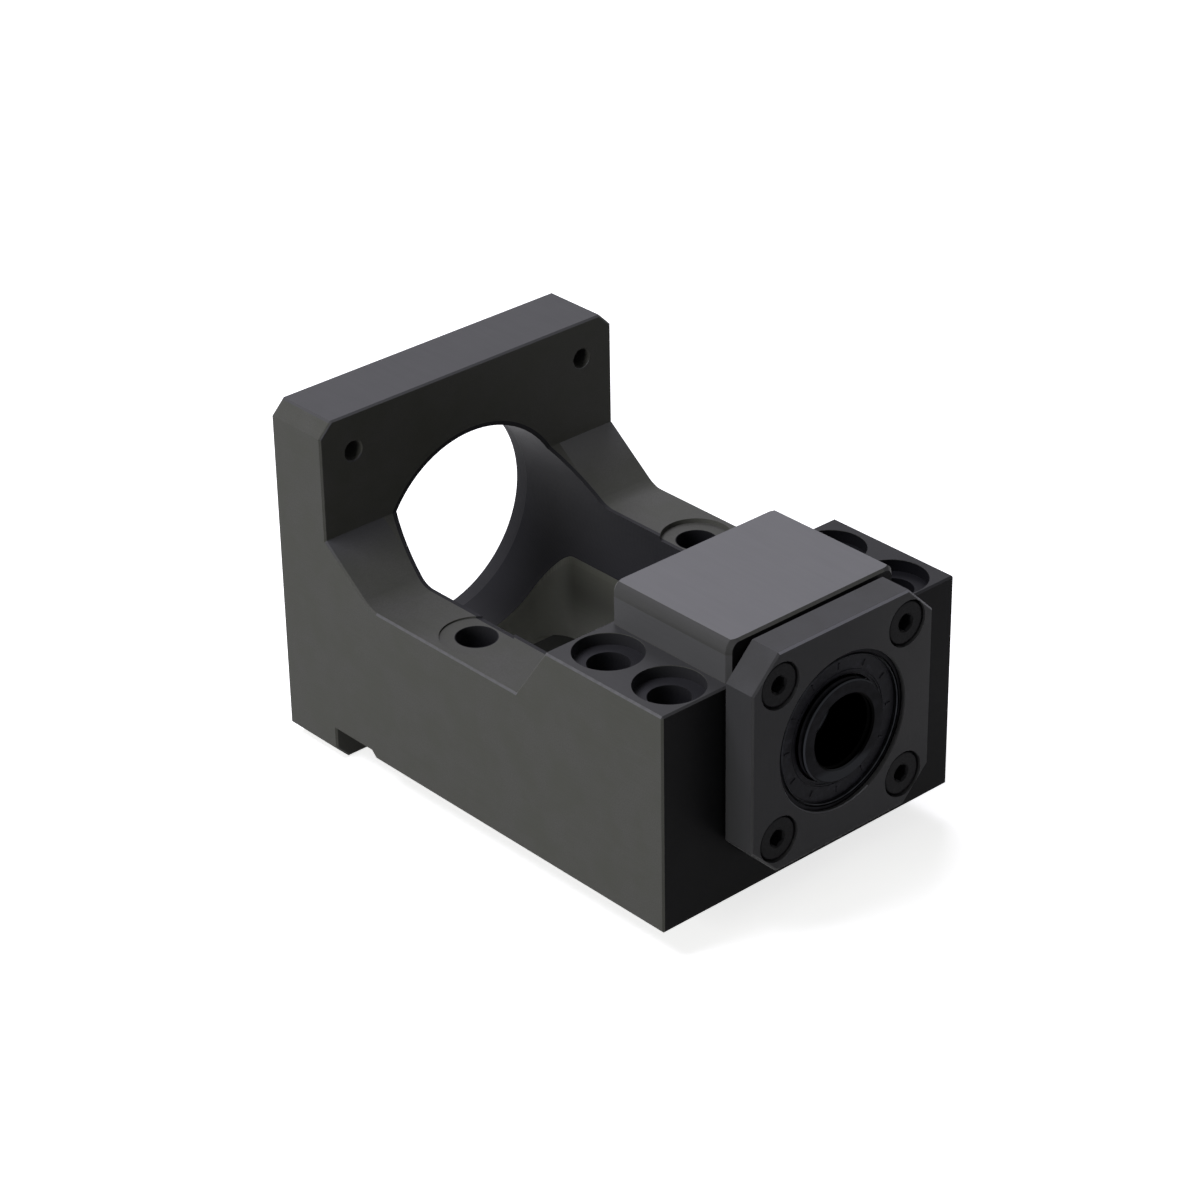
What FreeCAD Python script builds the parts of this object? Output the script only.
"""Ball screw end support: a bearing housing and a motor flange machined in one bracket.

Millimetres. X runs across the bracket, Y runs along the screw from the bearing end to the
motor end, and Z points up. The origin lies on the mounting plane, under the screw axis, at
the centre of the four screws that hold the bearing housing down.
"""
import os
import math

import FreeCAD
import Part
from FreeCAD import Vector

# Bracket outline, with the heights of its steps counted from the screw axis
body_width = 60.0
axis_height = 25.0
housing_length = 25.0
bay_length = 51.5
shoulder_above_axis = 11.9
ramp_length = 7.0
rail_above_axis = 2.1
gusset_length = 10.5
gusset_above_axis = 10.1
gusset_foot_round = 5.0
edge_break = 0.3

# Raised block over the bearings, rounded first and then ground flat on top
block_wall = 3.0
block_above_axis = 18.8
block_round = 2.1
block_ground_off = 0.3
block_end_break = 0.7

# Motor flange
flange_size = 60.0
flange_thickness = 12.0
flange_corner = 2.4
motor_hole_spacing = 47.14
motor_hole_diameter = 3.3
motor_hole_break = 0.15
pilot_diameter = 38.2
pilot_depth = 3.2
pilot_step = 0.4

# Coupling trough, the window in its floor and the groove under it
window_inset = 1.95
window_corner = 5.0
window_front_margin = 6.0
relief_length = 9.0
relief_depth = 1.0

# Screws that hold the bracket to the machine
mount_hole_inset = 7.0
mount_hole_spacing_y = 13.0
mount_hole_diameter = 6.6
counterbore_diameter = 11.0
counterbore_depth = 2.0
rail_hole_from_housing = 24.0
rail_spotface_diameter = 11.6
rail_spotface_depth_left = 0.3
rail_spotface_depth_right = 0.8
drill_point_angle = 118.0

# Bearings: bore, outside diameter, width, ball and pitch sizes
bearing_bore = 12.0
bearing_outside = 28.0
bearing_width = 8.0
ball_diameter = 4.7625
pitch_diameter = 20.0
ball_count = 10
race_clearance = 0.08
ring_chamfer = 0.35
inner_land_diameter = 16.6
outer_high_land_diameter = 23.0
outer_low_land_diameter = 24.1
seal_seat_diameter = 24.6
seal_seat_depth = 1.35
seal_recess = 0.35
seal_rim_width = 0.45
seal_face_drop = 0.2
seal_lip_width = 0.4
seal_lip_drop = 0.35
seal_running_gap = 0.3
cage_thickness = 1.7
cage_rim = 0.8
cage_prong = 2.0
cage_pocket_clearance = 0.12
spacer_length = 6.0
spacer_wall_gap = 0.5
inner_spacer_outside = 16.0

# Housing bore behind the bearings, the collars at both ends and the rear oil seal
seat_clearance = 0.04
stop_bore_diameter = 23.0
stop_length = 3.9
oil_seal_outside = 24.0
oil_seal_length = 4.6
oil_seal_wall = 0.8
oil_seal_lip_length = 1.6
oil_seal_lip_gap = 0.08
collar_outside = 16.0
collar_stand_out = 1.5
front_collar_length = 0.9
front_collar_chamfer = 0.25

# Retaining plate and its screws
plate_size = 37.0
plate_thickness = 5.5
plate_gap = 1.0
plate_lip = 0.6
plate_corner = 5.2
plate_opening_diameter = 25.8
plate_screw_spacing = 26.0
plate_hole_diameter = 4.5
plate_counterbore_diameter = 7.6
plate_counterbore_depth = 3.1
screw_diameter = 4.0
screw_length = 12.0
screw_tip_chamfer = 0.5
screw_head_diameter = 7.0
screw_head_height = 2.8
screw_head_round = 0.3
screw_socket_across_flats = 2.5
screw_socket_sides = 6
screw_socket_depth = 1.9
thread_clearance = 0.03
thread_run_out = 1.5

# Places worked out from the sizes
half_width = body_width / 2
shoulder_height = axis_height + shoulder_above_axis
rail_height = axis_height + rail_above_axis
gusset_height = axis_height + gusset_above_axis
block_height = axis_height + block_above_axis
block_width = bearing_outside + 2 * block_wall
trough_diameter = pilot_diameter - 2 * pilot_step
window_width = trough_diameter - 2 * window_inset
mount_hole_spacing_x = body_width - 2 * mount_hole_inset
front_y = -housing_length / 2
housing_rear_y = housing_length / 2
flange_front_y = housing_rear_y + bay_length
flange_rear_y = flange_front_y + flange_thickness
flange_bottom = axis_height - flange_size / 2
flange_top = axis_height + flange_size / 2
plate_front_y = front_y - plate_gap - plate_thickness
plate_rear_y = front_y - plate_gap
front_bearing_y = plate_front_y + plate_lip
spacer_y = front_bearing_y + bearing_width
rear_bearing_y = spacer_y + spacer_length
stop_y = rear_bearing_y + bearing_width
oil_seal_seat_y = stop_y + stop_length
beyond = 1.0

ball_radius = ball_diameter / 2
pitch_radius = pitch_diameter / 2
outside_radius = bearing_outside / 2
bore_radius = bearing_bore / 2
seat_radius = outside_radius + seat_clearance
groove_radius = ball_radius + race_clearance


def box(x_low, x_high, y_low, y_high, z_low, z_high):
    """A block between two corners."""
    corner = Vector(x_low, y_low, z_low)
    return Part.makeBox(x_high - x_low, y_high - y_low, z_high - z_low, corner)


def along_y(diameter, y_low, y_high, x=0.0, z=axis_height):
    """A round bar along Y."""
    return Part.makeCylinder(diameter / 2, y_high - y_low, Vector(x, y_low, z), Vector(0, 1, 0))


def along_z(diameter, z_low, z_high, x, y):
    """A round bar along Z."""
    return Part.makeCylinder(diameter / 2, z_high - z_low, Vector(x, y, z_low), Vector(0, 0, 1))


def cone_y(diameter_low, diameter_high, y_low, y_high, x=0.0, z=axis_height):
    """A cone along Y, used to break the edge of a hole."""
    foot = Vector(x, y_low, z)
    return Part.makeCone(diameter_low / 2, diameter_high / 2, y_high - y_low, foot, Vector(0, 1, 0))


def prism(points, direction):
    """A closed outline pushed along a direction."""
    outline = Part.makePolygon(points + [points[0]])
    return Part.Face(outline).extrude(direction)


def revolve_about_screw(outline, shift=0.0):
    """A ring from (radius, y) points, turned about the screw axis."""
    points = [Vector(radius, y + shift, axis_height) for radius, y in outline]
    face = Part.Face(Part.makePolygon(points + [points[0]]))
    return face.revolve(Vector(0, 0, axis_height), Vector(0, 1, 0), 360)


def solid_of(shape):
    """The single solid inside a boolean result, with its split faces joined."""
    joined = shape.removeSplitter()
    return joined.Solids[0]


def edges_in_plane(shape, axis, value):
    """Edges that lie in the plane where one coordinate has a value."""
    found = []
    for edge in shape.Edges:
        bounds = edge.BoundBox
        low = (bounds.XMin, bounds.YMin, bounds.ZMin)[axis]
        high = (bounds.XMax, bounds.YMax, bounds.ZMax)[axis]
        if abs(low - value) < 1e-4 and abs(high - value) < 1e-4:
            found.append(edge)
    return found


def unique_edges(edges):
    """The same edges with repeats left out."""
    kept = []
    for edge in edges:
        if not any(edge.isSame(other) for other in kept):
            kept.append(edge)
    return kept


def break_edges(shape, planes, size=edge_break):
    """The shape with a small chamfer on its edges in each (axis, value) plane."""
    edges = []
    for axis, value in planes:
        edges += edges_in_plane(shape, axis, value)
    return shape.makeChamfer(size, unique_edges(edges))


def bracket_blank():
    """The bracket's outside: stepped rails, raised bearing block and square motor flange."""
    relief_front_y = flange_front_y - relief_length
    ramp_end_y = housing_rear_y + ramp_length
    gusset_foot_y = flange_front_y - gusset_length
    inside_flange_y = flange_front_y + 2 * edge_break
    side = [
        (front_y, 0),
        (front_y, shoulder_height),
        (housing_rear_y, shoulder_height),
        (ramp_end_y, rail_height),
        (gusset_foot_y, rail_height),
        (flange_front_y, gusset_height),
        (inside_flange_y, gusset_height),
        (inside_flange_y, relief_depth),
        (relief_front_y, relief_depth),
        (relief_front_y - relief_depth, 0),
    ]
    rails = prism([Vector(-half_width, y, z) for y, z in side], Vector(body_width, 0, 0))
    gusset_foot = [edge for edge in edges_in_plane(rails, 1, gusset_foot_y)
                   if edge.BoundBox.XLength > half_width]
    rails = rails.makeFillet(gusset_foot_round, gusset_foot)
    rails = break_edges(rails, [(0, -half_width), (0, half_width), (1, front_y)])
    half_block = block_width / 2
    rough_height = block_height + block_ground_off
    block = box(-half_block, half_block, front_y, housing_rear_y, axis_height, rough_height)
    top_edges = [edge for edge in edges_in_plane(block, 2, rough_height)
                 if edge.BoundBox.YLength > housing_length / 2]
    block = block.makeFillet(block_round, top_edges)
    block = break_edges(block, [(1, front_y), (1, housing_rear_y)], block_end_break)
    block = block.common(box(-half_block, half_block, front_y, housing_rear_y, axis_height, block_height))
    half_flange = flange_size / 2
    flange = box(-half_flange, half_flange, flange_front_y, flange_rear_y, flange_bottom, flange_top)
    corners = [edge for edge in flange.Edges if edge.BoundBox.YLength > flange_thickness / 2]
    flange = flange.makeChamfer(flange_corner, corners)
    flange = break_edges(flange, [(1, flange_front_y), (1, flange_rear_y)])
    return solid_of(rails.fuse([block, flange]))


def bearing_cavity():
    """The stepped bore through the housing, from the plate side to the trough."""
    seat = along_y(2 * seat_radius, front_y - beyond, stop_y)
    mouth = cone_y(2 * (seat_radius + edge_break), 2 * seat_radius, front_y, front_y + edge_break)
    stop = along_y(stop_bore_diameter, stop_y, oil_seal_seat_y)
    seal_seat = along_y(oil_seal_outside + 2 * seat_clearance, oil_seal_seat_y, housing_rear_y + beyond)
    return [seat, mouth, stop, seal_seat]


def coupling_trough():
    """The round trough, which runs on through the flange as the motor's clearance bore."""
    trough = along_y(trough_diameter, housing_rear_y, flange_rear_y + beyond)
    pilot_y = flange_rear_y - pilot_depth
    pilot = along_y(pilot_diameter, pilot_y, flange_rear_y + beyond)
    broken = pilot_diameter + 2 * edge_break
    mouth = cone_y(pilot_diameter, broken, flange_rear_y - edge_break, flange_rear_y)
    return [trough, pilot, mouth]


def floor_window():
    """The window milled up through the trough's floor, with round corners."""
    half = window_width / 2
    window_front_y = housing_rear_y + window_front_margin
    window = box(-half, half, window_front_y, flange_front_y, -beyond, axis_height)
    corners = [edge for edge in window.Edges if edge.BoundBox.ZLength > axis_height / 2]
    return window.makeFillet(window_corner, corners)


def fixing_holes():
    """Counterbored holes for the screws that hold the bracket down."""
    cuts = []
    for side in (-1, 1):
        x = side * mount_hole_spacing_x / 2
        for end in (-1, 1):
            y = end * mount_hole_spacing_y / 2
            cuts.append(along_z(mount_hole_diameter, -beyond, shoulder_height + beyond, x, y))
            cuts.append(along_z(counterbore_diameter, shoulder_height - counterbore_depth,
                                shoulder_height + beyond, x, y))
        rail_y = housing_rear_y + rail_hole_from_housing
        spotface = rail_spotface_depth_left if side < 0 else rail_spotface_depth_right
        cuts.append(along_z(mount_hole_diameter, -beyond, rail_height + beyond, x, rail_y))
        cuts.append(along_z(rail_spotface_diameter, rail_height - spotface,
                            rail_height + beyond, x, rail_y))
    return cuts


def square_corners(spacing):
    """The four (x, z) places of a square pattern about the screw axis."""
    half = spacing / 2
    return [(x, axis_height + z) for z in (half, -half) for x in (-half, half)]


def motor_holes():
    """Tapped holes for the motor's screws, at their core diameter."""
    cuts = []
    wide = motor_hole_diameter + 2 * motor_hole_break
    front_break_y = flange_front_y + motor_hole_break
    rear_break_y = flange_rear_y - motor_hole_break
    for x, z in square_corners(motor_hole_spacing):
        cuts.append(along_y(motor_hole_diameter, flange_front_y - beyond, flange_rear_y + beyond, x, z))
        cuts.append(cone_y(wide, motor_hole_diameter, flange_front_y, front_break_y, x, z))
        cuts.append(cone_y(motor_hole_diameter, wide, rear_break_y, flange_rear_y, x, z))
    return cuts


def screw_under_head_y():
    """Where the heads of the plate's screws seat."""
    return plate_front_y + plate_counterbore_depth


def plate_screw_holes():
    """Tapped holes in the housing's front face for the plate's screws."""
    depth_y = screw_under_head_y() + screw_length + thread_run_out
    diameter = screw_diameter + 2 * thread_clearance
    point_y = depth_y + diameter / 2 / math.tan(math.radians(drill_point_angle / 2))
    cuts = []
    for x, z in square_corners(plate_screw_spacing):
        cuts.append(along_y(diameter, front_y - beyond, depth_y, x, z))
        cuts.append(cone_y(diameter, 0.0, depth_y, point_y, x, z))
    return cuts


def make_bracket_body():
    """The machined bracket, one piece."""
    cuts = bearing_cavity() + coupling_trough() + [floor_window()]
    cuts += fixing_holes() + motor_holes() + plate_screw_holes()
    return solid_of(bracket_blank().cut(cuts))


def make_retaining_plate():
    """The square plate that clamps the bearings' outer rings."""
    half = plate_size / 2
    inner = half - plate_corner
    outline = [
        (-inner, half), (inner, half), (half, inner), (half, -inner),
        (inner, -half), (-inner, -half), (-half, -inner), (-half, inner),
    ]
    points = [Vector(x, plate_front_y, axis_height + z) for x, z in outline]
    plate = prism(points, Vector(0, plate_thickness, 0))
    plate = plate.makeChamfer(edge_break, edges_in_plane(plate, 1, plate_front_y))
    cuts = [
        along_y(plate_opening_diameter, plate_front_y - beyond, plate_rear_y + beyond),
        cone_y(plate_opening_diameter + edge_break, plate_opening_diameter,
               plate_front_y, plate_front_y + edge_break / 2),
        along_y(2 * seat_radius, front_bearing_y, plate_rear_y + beyond),
    ]
    for x, z in square_corners(plate_screw_spacing):
        cuts.append(along_y(plate_hole_diameter, plate_front_y - beyond, plate_rear_y + beyond, x, z))
        cuts.append(along_y(plate_counterbore_diameter, plate_front_y - beyond, screw_under_head_y(), x, z))
    return solid_of(plate.cut(cuts))


def make_plate_screw(x, z):
    """A low-head socket screw, head towards -Y, at its place in the plate."""
    seat_y = screw_under_head_y()
    head_y = seat_y - screw_head_height
    head = along_y(screw_head_diameter, head_y, seat_y, x, z)
    head = head.makeFillet(screw_head_round, edges_in_plane(head, 1, head_y))
    tip_y = seat_y + screw_length
    shank = along_y(screw_diameter, seat_y, tip_y, x, z)
    shank = shank.makeChamfer(screw_tip_chamfer, edges_in_plane(shank, 1, tip_y))
    half_step = math.pi / screw_socket_sides
    across_corners = screw_socket_across_flats / math.cos(half_step)
    hexagon = []
    for corner in range(screw_socket_sides):
        angle = (2 * corner + 1) * half_step
        hexagon.append(Vector(x + across_corners / 2 * math.cos(angle), head_y,
                              z + across_corners / 2 * math.sin(angle)))
    socket = prism(hexagon, Vector(0, screw_socket_depth, 0))
    lead_in = cone_y(across_corners + screw_head_round, across_corners - screw_head_round,
                     head_y, head_y + screw_head_round, x, z)
    point = cone_y(screw_socket_across_flats, 0.0, head_y + screw_socket_depth,
                   head_y + screw_socket_depth + screw_head_round, x, z)
    return solid_of(head.fuse(shank).cut([socket, lead_in, point]))


def ball_groove(centre_y):
    """The torus that the balls' raceways are cut with."""
    return Part.makeTorus(pitch_radius, groove_radius, Vector(0, centre_y, axis_height), Vector(0, 1, 0))


def ring_y(y_start, sealed_end, offset):
    """A place across a bearing, counted from its sealed end."""
    return y_start + offset if sealed_end < 0 else y_start + bearing_width - offset


def make_outer_ring(y_start, sealed_end):
    """Outer ring of an angular contact bearing, open towards its sealed end."""
    seat = seal_seat_diameter / 2
    low = outer_low_land_diameter / 2
    high = outer_high_land_diameter / 2
    middle = bearing_width / 2
    outline = [
        (seat, 0), (outside_radius - ring_chamfer, 0), (outside_radius, ring_chamfer),
        (outside_radius, bearing_width - ring_chamfer),
        (outside_radius - ring_chamfer, bearing_width),
        (high + ring_chamfer, bearing_width), (high, bearing_width - ring_chamfer),
        (high, middle), (low, middle), (low, seal_seat_depth), (seat, seal_seat_depth),
    ]
    placed = [(radius, ring_y(y_start, sealed_end, y)) for radius, y in outline]
    ring = revolve_about_screw(placed)
    return solid_of(ring.cut(ball_groove(y_start + middle)))


def make_inner_ring(y_start):
    """Inner ring of a bearing, with its raceway."""
    land = inner_land_diameter / 2
    outline = [
        (bore_radius + ring_chamfer, 0), (land - ring_chamfer, 0), (land, ring_chamfer),
        (land, bearing_width - ring_chamfer), (land - ring_chamfer, bearing_width),
        (bore_radius + ring_chamfer, bearing_width), (bore_radius, bearing_width - ring_chamfer),
        (bore_radius, ring_chamfer),
    ]
    ring = revolve_about_screw(outline, y_start)
    return solid_of(ring.cut(ball_groove(y_start + bearing_width / 2)))


def ball_places():
    """Angles of the balls about the screw axis, in degrees."""
    return [360.0 * ball / ball_count for ball in range(ball_count)]


def around_screw(shape, angle):
    """A copy of a shape turned about the screw axis."""
    turned = shape.copy()
    turned.rotate(Vector(0, 0, axis_height), Vector(0, 1, 0), angle)
    return turned


def make_balls(y_start):
    """The balls of one bearing, a group of separate solids."""
    centre = Vector(pitch_radius, y_start + bearing_width / 2, axis_height)
    ball = Part.makeSphere(ball_radius, centre)
    return Part.makeCompound([around_screw(ball, angle) for angle in ball_places()])


def make_cage(y_start, sealed_end):
    """Crown cage: a rim away from the seal, with prongs that hold the balls apart."""
    inner = pitch_radius - cage_thickness / 2
    outer = pitch_radius + cage_thickness / 2
    pocket_radius = ball_radius + cage_pocket_clearance
    middle = bearing_width / 2
    start = middle - cage_prong
    end = middle + pocket_radius + cage_rim
    outline = [(inner, start), (outer, start), (outer, end), (inner, end)]
    placed = [(radius, ring_y(y_start, sealed_end, y)) for radius, y in outline]
    cage = revolve_about_screw(placed)
    foot = Vector(0, y_start + middle, axis_height)
    pocket = Part.makeCylinder(pocket_radius, outside_radius, foot, Vector(1, 0, 0))
    return solid_of(cage.cut([around_screw(pocket, angle) for angle in ball_places()]))


def make_bearing_seal(y_start, sealed_end):
    """Rubber seal pressed into the outer ring, just clear of the inner ring."""
    rim = seal_seat_diameter / 2 - seat_clearance
    face = rim - seal_rim_width
    lip = inner_land_diameter / 2 + seal_running_gap
    step = lip + seal_lip_width
    back = seal_seat_depth
    outline = [
        (rim, seal_recess), (face, seal_recess), (face, seal_recess + seal_face_drop),
        (step, seal_recess + seal_face_drop), (step, seal_recess + seal_lip_drop),
        (lip, seal_recess + seal_lip_drop), (lip, back), (rim, back),
    ]
    placed = [(radius, ring_y(y_start, sealed_end, y)) for radius, y in outline]
    return solid_of(revolve_about_screw(placed))


def make_sleeve(inner_radius, outer_radius, y_low, y_high, chamfer=ring_chamfer):
    """A plain sleeve about the screw axis with broken edges."""
    outline = [
        (inner_radius + chamfer, y_low), (outer_radius - chamfer, y_low),
        (outer_radius, y_low + chamfer), (outer_radius, y_high - chamfer),
        (outer_radius - chamfer, y_high), (inner_radius + chamfer, y_high),
        (inner_radius, y_high - chamfer), (inner_radius, y_low + chamfer),
    ]
    return solid_of(revolve_about_screw(outline))


def make_rear_oil_seal():
    """Lip seal pressed into the housing's rear, around the collar."""
    outer = oil_seal_outside / 2
    lip = collar_outside / 2 + oil_seal_lip_gap
    front = oil_seal_seat_y
    rear = oil_seal_seat_y + oil_seal_length
    outline = [
        (outer, front), (outer, rear - ring_chamfer), (outer - ring_chamfer, rear),
        (lip + ring_chamfer, rear), (lip, rear - ring_chamfer), (lip, rear - oil_seal_lip_length),
        (lip + oil_seal_wall, rear - oil_seal_lip_length - oil_seal_wall),
        (outer - oil_seal_wall, rear - oil_seal_lip_length - oil_seal_wall),
        (outer - oil_seal_wall, front),
    ]
    return solid_of(revolve_about_screw(outline))


def make_parts():
    """Every sub-part by its node name."""
    parts = {
        "bracket_body": make_bracket_body(),
        "retaining_plate": make_retaining_plate(),
    }
    for number, (x, z) in enumerate(square_corners(plate_screw_spacing), start=1):
        parts["plate_screw_%d" % number] = make_plate_screw(x, z)
    for name, y_start, sealed_end in (("front", front_bearing_y, -1), ("rear", rear_bearing_y, 1)):
        parts[name + "_outer_ring"] = make_outer_ring(y_start, sealed_end)
        parts[name + "_inner_ring"] = make_inner_ring(y_start)
        parts[name + "_balls"] = make_balls(y_start)
        parts[name + "_cage"] = make_cage(y_start, sealed_end)
        parts[name + "_bearing_seal"] = make_bearing_seal(y_start, sealed_end)
    outer_spacer_bore = outer_high_land_diameter / 2 + spacer_wall_gap
    parts["outer_spacer"] = make_sleeve(outer_spacer_bore, outside_radius, spacer_y, rear_bearing_y)
    parts["inner_spacer"] = make_sleeve(bore_radius, inner_spacer_outside / 2, spacer_y, rear_bearing_y)
    front_collar_y = front_bearing_y - front_collar_length
    parts["front_collar"] = make_sleeve(bore_radius, inner_land_diameter / 2, front_collar_y,
                                        front_bearing_y, front_collar_chamfer)
    collar_end_y = housing_rear_y + collar_stand_out
    parts["rear_collar"] = make_sleeve(bore_radius, collar_outside / 2, stop_y, collar_end_y)
    parts["rear_oil_seal"] = make_rear_oil_seal()
    return parts


os.makedirs("parts", exist_ok=True)
for node, shape in make_parts().items():
    shape.exportStep("parts/%s.step" % node)
    box_of = shape.BoundBox
    print("%-20s solids %2d valid %s volume %9.1f y %6.2f to %6.2f" % (
        node, len(shape.Solids), shape.isValid(), shape.Volume, box_of.YMin, box_of.YMax))
